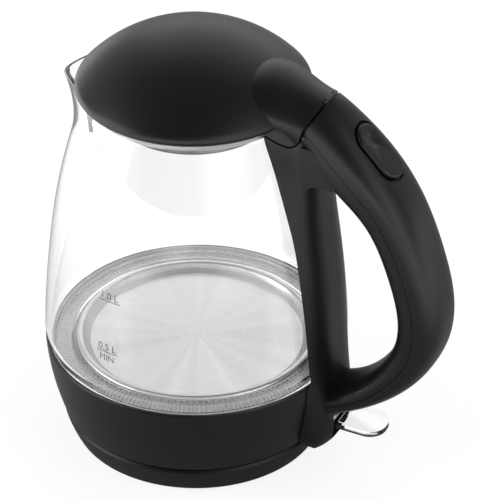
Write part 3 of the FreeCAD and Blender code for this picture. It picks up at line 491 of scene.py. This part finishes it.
def arc_radius(low: Vector, high: Vector, curve: float, level: float) -> float:
    """Radius of a turned outline on the arc between two of its points.

    Args:
        low: Radius and level of the lower point.
        high: Radius and level of the upper point.
        curve: Radius of the arc, negative where it is hollow.
        level: Level asked for.

    Returns:
        The radius there.
    """
    chord = high - low
    inward = Vector((-chord.y, chord.x)) / chord.length
    centre = (low + high) / 2 + inward * math.copysign(
        math.sqrt(curve ** 2 - chord.length_squared / 4), curve)
    return centre.x + math.copysign(math.sqrt(curve ** 2 - (level - centre.y) ** 2), curve)


@dataclass(frozen=True)
class Mark:
    """Words of the fill scale and the height of their foot and letters, in millimetres."""

    name: str
    words: str
    level: float
    size: float


@dataclass
class Jug:
    """Glass jug with its spout, its scale and the filter behind the spout, in millimetres."""

    foot: float = 51.0
    foot_radius: float = 75.2
    shelf: float = 56.0
    belly: float = 63.0
    belly_radius: float = 77.4
    belly_ease: float = 1.5
    belly_curve: float = 630.0
    waist: float = 122.0
    waist_radius: float = 71.7
    shoulder_curve: float = 310.0
    neck: float = 190.0
    neck_radius: float = 54.4
    lip_curve: float = -60.0
    rim: float = 197.0
    rim_radius: float = 52.4
    rim_rounding: float = 1.4
    rim_steps: int = 10
    wall: float = 2.8
    spout_start: float = 160.0
    spout_root: float = 62.0
    spout_lean: float = 0.10
    spout_flare: float = 0.0068
    spout_thinning: float = 1.3
    tip_softness: float = 0.075
    dip_start: float = 58.0
    dip_slope: float = 0.33
    dip_blend: float = 4.0
    dip_level: float = 194.0
    around: int = 320
    rows: int = 72
    crease: float = 50.0
    scale_turn: float = -97.5
    ink_depth: float = 0.08
    letter_steps: int = 4
    line_half_length: float = 6.2
    line_half_height: float = 0.2
    line_steps: int = 24
    filter_window: Span = (1.2, 28.8)
    marks: tuple[Mark, ...] = (
        Mark("mark_half", "0.5 L", 85.4, 5.4), Mark("mark_low", "MIN", 79.6, 4.9),
        Mark("mark_full", "1.0 L", 113.6, 5.4))
    lines: tuple[tuple[str, float], ...] = (("line_half", 84.5), ("line_full", 112.7))

    def build(self) -> None:
        """Make the glass, its scale and the filter."""
        self.glass()
        self.scale()
        self.filter_wires()
        smooth_copy("filter_frame", CHARCOAL)

    def radius(self, level: float) -> float:
        """Outside of the turned glass at a level."""
        if level <= self.shelf:
            return self.foot_radius
        if level <= self.belly:
            rise = (level - self.shelf) / (self.belly - self.shelf)
            eased = rise ** self.belly_ease * (1 + self.belly_ease - self.belly_ease * rise)
            return self.foot_radius + (self.belly_radius - self.foot_radius) * eased
        belly = Vector((self.belly_radius, self.belly))
        waist = Vector((self.waist_radius, self.waist))
        neck = Vector((self.neck_radius, self.neck))
        if level <= self.waist:
            return arc_radius(belly, waist, self.belly_curve, level)
        if level <= self.neck:
            return arc_radius(waist, neck, self.shoulder_curve, level)
        return arc_radius(neck, Vector((self.rim_radius, self.rim)), self.lip_curve, level)

    def spouted(self, level: float, angle: float, inset: float) -> float:
        """Radius of the glass with its spout.

        Args:
            level: Height above the table.
            angle: Turn from the spout in radians.
            inset: Distance inside the outer face.

        Returns:
            The radius there.
        """
        radius = self.radius(level) - inset
        climb = max(0.0, level - self.spout_start)
        reach = (self.spout_root + self.spout_lean * climb + self.spout_flare * climb ** 2
                 - self.spout_thinning * inset)
        if reach <= radius or level <= self.spout_start:
            return radius
        turn = math.acos(radius / reach) + self.tip_softness
        off = math.hypot(angle, self.tip_softness)
        return radius if off >= turn else radius / math.cos(turn - off)

    def lip(self, angle: float) -> float:
        """Level of the rim at a turn from the spout, lower towards the tip."""
        forward = self.spouted(self.dip_level, angle, 0.0) * math.cos(angle) - self.dip_start
        return self.rim - self.dip_slope * 0.5 * (forward + math.hypot(forward, self.dip_blend))

    def upright(self, angle: float) -> list[tuple[float, float]]:
        """Radius and level up the outside, over the rounded rim and down the inside at one turn."""
        top = self.lip(angle)
        outer, inner = (self.spouted(top - self.rim_rounding, angle, inset) for inset in (0.0, self.wall))
        rounding = min(self.rim_rounding, (outer - inner) / 2)
        rise = top - rounding - self.foot
        levels = [self.foot + rise * row / self.rows for row in range(self.rows + 1)]
        outside = [(self.spouted(level, angle, 0.0), level) for level in levels]
        inside = [(self.spouted(level, angle, self.wall), level) for level in levels]
        middle, half = (outside[-1][0] + inside[-1][0]) / 2, (outside[-1][0] - inside[-1][0]) / 2
        over = []
        for step in range(1, self.rim_steps):
            turn = math.pi * step / self.rim_steps
            over.append((middle + half * math.cos(turn), levels[-1] + rounding * math.sin(turn)))
        return outside + over + inside[::-1]

    def glass(self) -> None:
        """Glass wall with a rounded rim."""
        columns = []
        for step in range(self.around):
            turn = 2 * math.pi * step / self.around
            angle = turn if turn <= math.pi else turn - 2 * math.pi
            columns.append([Vector((-radius * math.cos(angle), -radius * math.sin(angle), level)) * MM
                            for radius, level in self.upright(angle)])
        mesh = closed_grid("glass", columns)
        finished("glass", shaded(mesh, self.crease), GLASS, Body.KETTLE, ["glass_jug"])

    def on_glass(self, across: float, level: float, proud: float) -> Vector:
        """Point on the outside of the glass at the scale.

        Args:
            across: Distance round the glass from the middle of the scale.
            level: Height above the table.
            proud: Distance outside the glass.

        Returns:
            The point in metres.
        """
        radius = self.radius(level) + proud
        angle = math.radians(self.scale_turn) + across / radius
        return Vector((radius * math.cos(angle), radius * math.sin(angle), level)) * MM

    def scale(self) -> None:
        """Printed fill marks on the near side of the glass."""
        for mark in self.marks:
            self.printed_words(mark)
        for name, level in self.lines:
            self.printed_line(name, level)

    def printed_words(self, mark: Mark) -> None:
        """Words laid on the glass."""
        text = bpy.data.curves.new(mark.name, "FONT")
        text.body = mark.words
        text.size = mark.size
        text.align_x = "CENTER"
        text.resolution_u = self.letter_steps
        text.extrude = self.ink_depth / 2
        holder = bpy.data.objects.new(mark.name, text)
        bpy.context.scene.collection.objects.link(holder)
        mesh = bpy.data.meshes.new_from_object(holder)
        bpy.data.objects.remove(holder)
        for vertex in mesh.vertices:
            proud = self.ink_depth + vertex.co.z
            vertex.co = self.on_glass(vertex.co.x, mark.level + vertex.co.y, proud)
        finished(mark.name, mesh, INK, Body.KETTLE)

    def printed_line(self, name: str, level: float) -> None:
        """Line of the scale round part of the glass."""
        low, high = -self.line_half_height, self.line_half_height
        inner, outer = 0.5 * self.ink_depth, 1.5 * self.ink_depth
        corners = ((low, inner), (high, inner), (high, outer), (low, outer))
        sides = len(corners)
        points, faces = [], []
        for step in range(self.line_steps + 1):
            across = self.line_half_length * (2 * step / self.line_steps - 1)
            points += [self.on_glass(across, level + side, proud) for side, proud in corners]
        for step in range(self.line_steps):
            start, end = sides * step, sides * (step + 1)
            for corner in range(sides):
                following = (corner + 1) % sides
                faces.append((start + corner, start + following, end + following, end + corner))
        faces.append(tuple(reversed(range(sides))))
        faces.append(tuple(sides * self.line_steps + corner for corner in range(sides)))
        mesh = bpy.data.meshes.new(name)
        mesh.from_pydata(points, [], faces)
        finished(name, outward(mesh), INK, Body.KETTLE)

    def filter_wires(self) -> None:
        """Woven wires that fill the two windows of the filter frame."""
        weave = Weave()
        tree = weave.tree()
        near, far = (math.asin(across / weave.radius) for across in self.filter_window)
        windows = (("filter_wires_near", near, ["filter_mesh"]), ("filter_wires_far", -far, []))
        for name, start, nodes in windows:
            mesh = weave.mesh(name, tree, math.pi + start, far - near)
            finished(name, shaded(mesh, weave.crease), FASTENER, Body.KETTLE, nodes)


def repeating_tree(name: str, lengths: Sequence[str], counts: Sequence[str]) -> tuple[Graph, Sockets]:
    """Start a tree of geometry nodes.

    Args:
        name: Name of the tree.
        lengths: Names of its inputs that are lengths or angles.
        counts: Names of its inputs that are whole numbers.

    Returns:
        The graph and the sockets that give the inputs.
    """
    tree = bpy.data.node_groups.new(name, "GeometryNodeTree")
    for labels, kind in ((lengths, "NodeSocketFloat"), (counts, "NodeSocketInt")):
        for label in labels:
            tree.interface.new_socket(label, in_out="INPUT", socket_type=kind)
    tree.interface.new_socket("Geometry", in_out="OUTPUT", socket_type="NodeSocketGeometry")
    graph = Graph(tree)
    return graph, graph.add("NodeGroupInput").outputs


def share_of(graph: Graph, count: bpy.types.NodeSocket, start: float) -> bpy.types.NodeSocket:
    """Place of each copy between 0 and 1, a part of a step in from the beginning."""
    index = graph.math("ADD", graph.add("GeometryNodeInputIndex").outputs[0], start)
    return graph.math("DIVIDE", index, count)


def round_bar(graph: Graph, curve: bpy.types.Node, radius: bpy.types.NodeSocket,
              sides: int) -> bpy.types.NodeSocket:
    """Closed bar of a radius along a curve."""
    section = graph.add("GeometryNodeCurvePrimitiveCircle", {"Resolution": sides, "Radius": radius})
    return graph.add("GeometryNodeCurveToMesh", {
        "Curve": curve.outputs[0], "Profile Curve": section.outputs[0], "Fill Caps": True}).outputs[0]


def end_tree(graph: Graph, copies: bpy.types.NodeSocket, finish: Finish) -> bpy.types.NodeTree:
    """Make the copies real, give them their finish and return the whole tree."""
    real = graph.add("GeometryNodeRealizeInstances", {0: copies})
    coat = graph.add("GeometryNodeSetMaterial", {0: real.outputs[0]})
    coat.inputs["Material"].default_value = finish.material()
    graph.add("NodeGroupOutput", {0: coat.outputs[0]})
    return graph.tree


def grown_mesh(name: str, tree: bpy.types.NodeTree, values: dict[str, float]) -> bpy.types.Mesh:
    """Plain mesh that a tree of geometry nodes gives.

    Args:
        name: Name of the mesh.
        tree: The tree.
        values: Its inputs by name.

    Returns:
        The mesh, with no modifier left.
    """
    holder = bpy.data.objects.new(name + "_holder", bpy.data.meshes.new(name + "_holder"))
    bpy.context.scene.collection.objects.link(holder)
    modifier = holder.modifiers.new("nodes", "NODES")
    modifier.node_group = tree
    for item in tree.interface.items_tree:
        if item.in_out == "INPUT":
            modifier[item.identifier] = values[item.name]
    evaluated = holder.evaluated_get(bpy.context.evaluated_depsgraph_get())
    mesh = bpy.data.meshes.new_from_object(evaluated)
    mesh.name = name
    bpy.data.objects.remove(holder)
    return mesh


@dataclass
class Weave:
    """Fine wire cloth bent round the axis of the jug, in millimetres."""

    radius: float = 50.35
    bottom: float = 179.6
    height: float = 8.2
    wire: float = 0.09
    wire_sides: int = 6
    bend_steps: int = 32
    uprights: int = 56
    rows: int = 16
    crease: float = 60.0

    def tree(self) -> bpy.types.NodeTree:
        """Tree that repeats one upright and one bent wire."""
        graph, given = repeating_tree(
            "wire_cloth", ("Radius", "Bottom", "Height", "Wire", "Start", "Sweep"), ("Uprights", "Rows"))
        top = graph.math("ADD", given["Bottom"], given["Height"])
        foot, head = (graph.add("ShaderNodeCombineXYZ", {"X": given["Radius"], "Z": level}).outputs[0]
                      for level in (given["Bottom"], top))
        upright = graph.add("GeometryNodeCurvePrimitiveLine", {"Start": foot, "End": head})
        bend = graph.add("GeometryNodeCurveArc", {
            "Resolution": self.bend_steps, "Radius": given["Radius"], "Start Angle": given["Start"],
            "Sweep Angle": given["Sweep"]})
        along = graph.math("MULTIPLY", share_of(graph, given["Uprights"], 0.5), given["Sweep"])
        turn = graph.add("ShaderNodeCombineXYZ", {"Z": graph.math("ADD", given["Start"], along)}).outputs[0]
        rise = graph.math("MULTIPLY", share_of(graph, given["Rows"], 0.5), given["Height"])
        lift = graph.add("ShaderNodeCombineXYZ", {"Z": graph.math("ADD", rise, given["Bottom"])}).outputs[0]
        cloth = graph.add("GeometryNodeJoinGeometry")
        for curve, count, place, facing in ((upright, "Uprights", {}, {"Rotation": turn}),
                                            (bend, "Rows", {"Position": lift}, {})):
            wire = round_bar(graph, curve, given["Wire"], self.wire_sides)
            points = graph.add("GeometryNodePoints", {"Count": given[count], **place})
            copies = graph.add("GeometryNodeInstanceOnPoints", {
                "Points": points.outputs[0], "Instance": wire, **facing})
            graph.feed(cloth.inputs[0], copies.outputs[0])
        return end_tree(graph, cloth.outputs[0], FASTENER)

    def mesh(self, name: str, tree: bpy.types.NodeTree, start: float, sweep: float) -> bpy.types.Mesh:
        """Cloth over one window.

        Args:
            name: Name of the mesh.
            tree: Tree that repeats the wires.
            start: Turn from the handle where it begins, in radians.
            sweep: Turn that it covers.

        Returns:
            The mesh of all its wires.
        """
        return grown_mesh(name, tree, {
            "Radius": self.radius * MM, "Bottom": self.bottom * MM, "Height": self.height * MM,
            "Wire": self.wire * MM, "Start": start, "Sweep": sweep, "Uprights": self.uprights,
            "Rows": self.rows})


@dataclass
class LightRing:
    """Clear ribbed ring round the heating plate, in millimetres."""

    inner: float = 65.9
    outer: float = 71.7
    level: float = 55.7
    rib_radius: float = 0.42
    rib_sides: int = 8
    ribs: int = 208
    crease: float = 50.0

    def build(self) -> None:
        """Make the ring and its ribs."""
        smooth_copy("light_ring", CLEAR)
        self.ribbing()
        smooth_copy("led_board", BOARD)
        smooth_copy("leds", LAMP)

    def ribbing(self) -> None:
        """Radial ribs on top of the ring."""
        graph, given = repeating_tree("radial_ribs", ("Inner", "Outer", "Level", "Rib radius"), ("Ribs",))
        start, end = (graph.add("ShaderNodeCombineXYZ", {"X": given[edge]}).outputs[0]
                      for edge in ("Inner", "Outer"))
        line = graph.add("GeometryNodeCurvePrimitiveLine", {"Start": start, "End": end})
        rib = round_bar(graph, line, given["Rib radius"], self.rib_sides)
        points = graph.add("GeometryNodePoints", {"Count": given["Ribs"]})
        turn = graph.math("MULTIPLY", share_of(graph, given["Ribs"], 0.0), 2 * math.pi)
        facing = graph.add("ShaderNodeCombineXYZ", {"Z": turn}).outputs[0]
        copies = graph.add("GeometryNodeInstanceOnPoints", {
            "Points": points.outputs[0], "Instance": rib, "Rotation": facing})
        lift = graph.add("ShaderNodeCombineXYZ", {"Z": given["Level"]}).outputs[0]
        raised = graph.add("GeometryNodeTransform", {"Geometry": copies.outputs[0], "Translation": lift})
        tree = end_tree(graph, raised.outputs[0], CLEAR)
        mesh = grown_mesh("light_ring_ribs", tree, {
            "Inner": self.inner * MM, "Outer": self.outer * MM, "Level": self.level * MM,
            "Rib radius": self.rib_radius * MM, "Ribs": self.ribs})
        finished("light_ring_ribs", shaded(mesh, self.crease), CLEAR, Body.KETTLE)


@dataclass
class Dressed:
    """Sub-assembly whose solids keep their shape and are given a finish each."""

    finishes: dict[str, Finish]

    def build(self) -> None:
        """Dress every solid."""
        for node, finish in self.finishes.items():
            smooth_copy(node, finish)


@dataclass
class Housing(Dressed):
    """Heated housing below the glass."""

    finishes: dict[str, Finish] = field(default_factory=lambda: {
        "base_housing": HOUSING_SKIN_WITH_RIM_HIGHLIGHT, "bottom_cover": CHARCOAL, "heating_plate": PLATE, "heat_spreader": CAST,
        "heating_element": CAST, "plate_seal": SILICONE, "glass_seal": SILICONE, "kettle_socket": SOCKET_SKIN,
        "control_body": SOCKET_SKIN, "socket_contacts": BRASS, "bottom_screws": FASTENER})


@dataclass
class Lid(Dressed):
    """Domed lid with its liner and steel cap."""

    finishes: dict[str, Finish] = field(default_factory=lambda: {
        "lid_cover": CHARCOAL, "lid_liner": CHARCOAL, "lid_seal": SILICONE, "lid_steel_cap": CAP_STEEL})


@dataclass
class Handle(Dressed):
    """Handle with its button, latch, lever and steam pieces."""

    finishes: dict[str, Finish] = field(default_factory=lambda: {
        "handle_inner": CHARCOAL, "handle_outer": CHARCOAL, "handle_screws": FASTENER,
        "lid_hinge_pin": PIN_STEEL_PAINTED_SHADE, "steam_tube": SILICONE, "steam_switch": FASTENER, "lever_pin": FASTENER,
        "release_button": BUTTON_SKIN, "button_spring": FASTENER, "latch_slider": SOCKET_SKIN,
        "switch_lever": CLEAR})


@dataclass
class PowerBase(Dressed):
    """Lift-off power base."""

    finishes: dict[str, Finish] = field(default_factory=lambda: {
        "base_cover": CHARCOAL, "base_bottom": CHARCOAL, "foot_ring": RUBBER, "base_screws": FASTENER,
        "cord_inlet": RUBBER, "base_connector": SOCKET_SKIN, "contact_rings": BRASS, "earth_pin": BRASS})


@dataclass(frozen=True)
class Softbox:
    """Square soft lamp: its place and size in metres and its power in watts."""

    name: str
    place: Direction
    size: float
    power: float


@dataclass(frozen=True)
class Swell:
    """Light that swells smoothly towards one side, over a span of reach, to its full strength."""

    toward: Direction
    span: Span
    strength: float

    def at(self, graph: Graph, place: bpy.types.NodeSocket) -> bpy.types.NodeSocket:
        """Strength at a position or in a direction."""
        reach = graph.vector("DOT_PRODUCT", place, self.toward)
        return graph.ranged(reach, self.span, (0.0, self.strength), interpolation_type="SMOOTHSTEP")


@dataclass
class Studio:
    """Pale floor, soft lamps and the camera, in metres apart from the lens in millimetres."""

    middle: Vector = Vector((0.0, 0.0, 0.110))
    aim: Vector = Vector((0.0256, 0.0097, 0.1048))
    toward_camera: Vector = Vector((0.3933, -0.7397, 0.5461))
    distance: float = 1.42
    lens: float = 203.5
    far_limit: float = 50.0
    floor_radius: float = 6.0
    floor_sides: int = 96
    floor_tone: Colour = grey(0.2)
    floor_glow: float = 0.86
    mirrored_tone: Colour = grey(0.6)
    mirrored_left: Swell = Swell((-0.8, -0.6, 0.0), (0.10, 0.40), 2.2)
    mirrored_right: Swell = Swell((0.9, -0.44, 0.0), (0.22, 0.60), 2.2)
    toward_backdrop: Direction = (-0.45, 0.80, 0.40)
    backdrop_span: Span = (-0.3, 0.5)
    backdrop_levels: Span = (0.06, 0.7)
    overhead_span: Span = (0.45, 0.85)
    overhead_levels: Span = (1.0, 0.15)
    rim_light: Swell = Swell((0.83, -0.54, 0.1), (0.86, 1.0), 2.4)
    room_level: float = 0.5
    shown_level: float = 1.0
    softboxes: tuple[Softbox, ...] = (
        Softbox("back_softbox", (-0.35, 1.1, 1.0), 1.5, 5.5),
        Softbox("left_softbox", (-1.2, -0.95, 0.55), 1.0, 12.0),
        Softbox("right_softbox", (1.3, -0.2, 0.9), 1.0, 5.0))

    def build(self) -> None:
        """Set the whole studio."""
        self.camera()
        self.floor()
        self.world()
        for softbox in self.softboxes:
            self.lamp(softbox)
        bpy.context.scene.view_settings.view_transform = "Standard"

    def camera(self) -> None:
        """Camera at the height and distance of the photograph."""
        data = bpy.data.cameras.new("camera")
        data.lens = self.lens
        data.clip_end = self.far_limit
        camera = bpy.data.objects.new("camera", data)
        bpy.context.scene.collection.objects.link(camera)
        camera.location = self.middle + self.toward_camera * self.distance
        camera.rotation_euler = (self.aim - camera.location).to_track_quat("-Z", "Y").to_euler()
        bpy.context.scene.camera = camera

    def lamp(self, softbox: Softbox) -> None:
        """Soft lamp aimed at the kettle."""
        data = bpy.data.lights.new(softbox.name, "AREA")
        data.size = softbox.size
        data.energy = softbox.power
        lamp = bpy.data.objects.new(softbox.name, data)
        bpy.context.scene.collection.objects.link(lamp)
        lamp.location = softbox.place
        lamp.rotation_euler = (self.middle - lamp.location).to_track_quat("-Z", "Y").to_euler()

    @staticmethod
    def shown(graph: Graph, *kinds: str) -> bpy.types.NodeSocket:
        """Mask of the kinds of ray that show the background."""
        path = graph.add("ShaderNodeLightPath")
        mask = path.outputs[kinds[0]]
        for kind in kinds[1:]:
            mask = graph.math("MAXIMUM", mask, path.outputs[kind])
        return mask

    def floor(self) -> None:
        """Pale floor that keeps a soft shadow."""
        mesh = bpy.data.meshes.new("floor")
        work = bmesh.new()
        bmesh.ops.create_circle(work, cap_ends=True, radius=self.floor_radius, segments=self.floor_sides)
        work.to_mesh(mesh)
        work.free()
        floor = bpy.data.objects.new("floor", mesh)
        bpy.context.scene.collection.objects.link(floor)
        mesh.materials.append(self.floor_material())

    def floor_material(self) -> bpy.types.Material:
        """Paint that glows pale where it is seen, and is matt grey with two swells in the mirrors."""
        material = bpy.data.materials.new("pale_floor")
        material.use_nodes = True
        graph = Graph(material.node_tree)
        material.node_tree.nodes.remove(material.node_tree.nodes["Principled BSDF"])
        plain = self.mirrored_floor(graph)
        lit = graph.add("ShaderNodeBsdfDiffuse", {"Color": self.floor_tone})
        glow = graph.add("ShaderNodeEmission", {"Strength": self.floor_glow})
        both = graph.add("ShaderNodeAddShader", {0: lit.outputs[0], 1: glow.outputs[0]})
        mask = self.shown(graph, "Is Camera Ray", "Is Transmission Ray")
        mixed = graph.add("ShaderNodeMixShader", {0: mask, 1: plain, 2: both.outputs[0]})
        graph.feed(material.node_tree.nodes["Material Output"].inputs["Surface"], mixed.outputs[0])
        return material

    def mirrored_floor(self, graph: Graph) -> bpy.types.NodeSocket:
        """Floor as the kettle mirrors it, brighter to both sides of the camera."""
        place = graph.add("ShaderNodeTexCoord").outputs["Object"]
        sides = graph.math("ADD", self.mirrored_left.at(graph, place), self.mirrored_right.at(graph, place))
        sheen = graph.math("MULTIPLY", sides, self.shown(graph, "Is Glossy Ray"))
        matt = graph.add("ShaderNodeBsdfDiffuse", {"Color": self.mirrored_tone})
        glow = graph.add("ShaderNodeEmission", {"Strength": sheen})
        return graph.add("ShaderNodeAddShader", {0: matt.outputs[0], 1: glow.outputs[0]}).outputs[0]

    def world(self) -> None:
        """White backdrop behind the kettle and dimmer light from the camera's side."""
        world = bpy.data.worlds.new("studio")
        world.use_nodes = True
        bpy.context.scene.world = world
        graph = Graph(world.node_tree)
        background = world.node_tree.nodes["Background"]
        direction = graph.add("ShaderNodeTexCoord").outputs["Generated"]
        facing = graph.vector("DOT_PRODUCT", direction, self.toward_backdrop)
        backdrop = graph.ranged(facing, self.backdrop_span, self.backdrop_levels)
        rise = graph.add("ShaderNodeSeparateXYZ", {0: direction}).outputs["Z"]
        overhead = graph.ranged(rise, self.overhead_span, self.overhead_levels)
        backdrop = graph.math("MULTIPLY", backdrop, overhead)
        backdrop = graph.math("ADD", backdrop, self.rim_light.at(graph, direction))
        shown = self.shown(graph, "Is Camera Ray", "Is Transmission Ray")
        glossy = self.shown(graph, "Is Glossy Ray")
        unseen = graph.blend(glossy, self.room_level, backdrop)
        graph.feed(background.inputs["Strength"], graph.blend(shown, unseen, self.shown_level))
        background.inputs["Color"].default_value = grey(1.0)


def main() -> None:
    """Build the kettle and its studio."""
    logging.basicConfig(level=logging.INFO, format="%(message)s")
    Effects().build()
    for part in (PowerBase(), Housing(), LightRing(), Jug(), Lid(), Handle(), Studio()):
        log.info("building %s", type(part).__name__)
        part.build()


if __name__ == "__main__":
    main()
